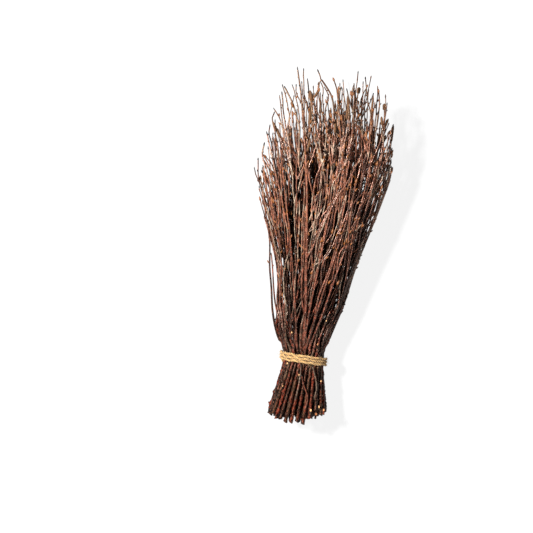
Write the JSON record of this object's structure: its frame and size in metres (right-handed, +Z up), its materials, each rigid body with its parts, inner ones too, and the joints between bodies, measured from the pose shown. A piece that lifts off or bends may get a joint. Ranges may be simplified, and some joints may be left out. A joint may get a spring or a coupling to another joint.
{
  "type": "bundle of twigs",
  "caption": "Bundle of dry birch twigs, cut level at the butts, tied near the cut ends with jute twine and fanning out to budded tips; it lies on its side",
  "frame": {"origin": "middle of the bounding box, on the surface that the bundle lies on", "axes": "+Y runs along the bundle from the cut ends to the tips, +Z is up from the surface it lies on, +X is to the right seen from above with the tips away from the viewer"},
  "size_m": [0.1646, 0.4298, 0.1057],
  "materials": {
    "dark_bark": "matt",
    "red_bark": "satin",
    "grey_brown_bark": "matt",
    "jute": "matt"
  },
  "bodies": {
    "root": {"outer_twig_01": "red_bark", "outer_twig_02": "grey_brown_bark", "outer_twig_03": "dark_bark", "outer_twig_04": "red_bark", "outer_twig_05": "grey_brown_bark", "outer_twig_06": "dark_bark", "outer_twig_07": "red_bark", "outer_twig_08": "grey_brown_bark", "outer_twig_09": "dark_bark", "outer_twig_10": "red_bark", "outer_twig_11": "grey_brown_bark", "outer_twig_12": "dark_bark", "outer_twig_13": "red_bark", "outer_twig_14": "grey_brown_bark", "outer_twig_15": "dark_bark", "outer_twig_16": "red_bark", "outer_twig_17": "grey_brown_bark", "outer_twig_18": "dark_bark", "outer_twig_19": "red_bark", "outer_twig_20": "grey_brown_bark", "outer_twig_21": "dark_bark", "outer_twig_22": "red_bark", "outer_twig_23": "grey_brown_bark", "outer_twig_24": "dark_bark", "outer_twig_25": "red_bark", "outer_twig_26": "grey_brown_bark", "outer_twig_27": "dark_bark", "middle_twig_01": "grey_brown_bark", "middle_twig_02": "dark_bark", "middle_twig_03": "red_bark", "middle_twig_04": "grey_brown_bark", "middle_twig_05": "dark_bark", "middle_twig_06": "red_bark", "middle_twig_07": "grey_brown_bark", "middle_twig_08": "dark_bark", "middle_twig_09": "red_bark", "middle_twig_10": "grey_brown_bark", "middle_twig_11": "dark_bark", "middle_twig_12": "red_bark", "middle_twig_13": "grey_brown_bark", "middle_twig_14": "dark_bark", "middle_twig_15": "red_bark", "middle_twig_16": "grey_brown_bark", "middle_twig_17": "dark_bark", "middle_twig_18": "red_bark", "middle_twig_19": "grey_brown_bark", "middle_twig_20": "dark_bark", "middle_twig_21": "red_bark", "deep_twig_01": "dark_bark", "deep_twig_02": "red_bark", "deep_twig_03": "grey_brown_bark", "deep_twig_04": "dark_bark", "deep_twig_05": "red_bark", "deep_twig_06": "grey_brown_bark", "deep_twig_07": "dark_bark", "deep_twig_08": "red_bark", "deep_twig_09": "grey_brown_bark", "deep_twig_10": "dark_bark", "inner_twigs": "dark_bark", "jute_twine": "jute"}
  },
  "joints": []
}
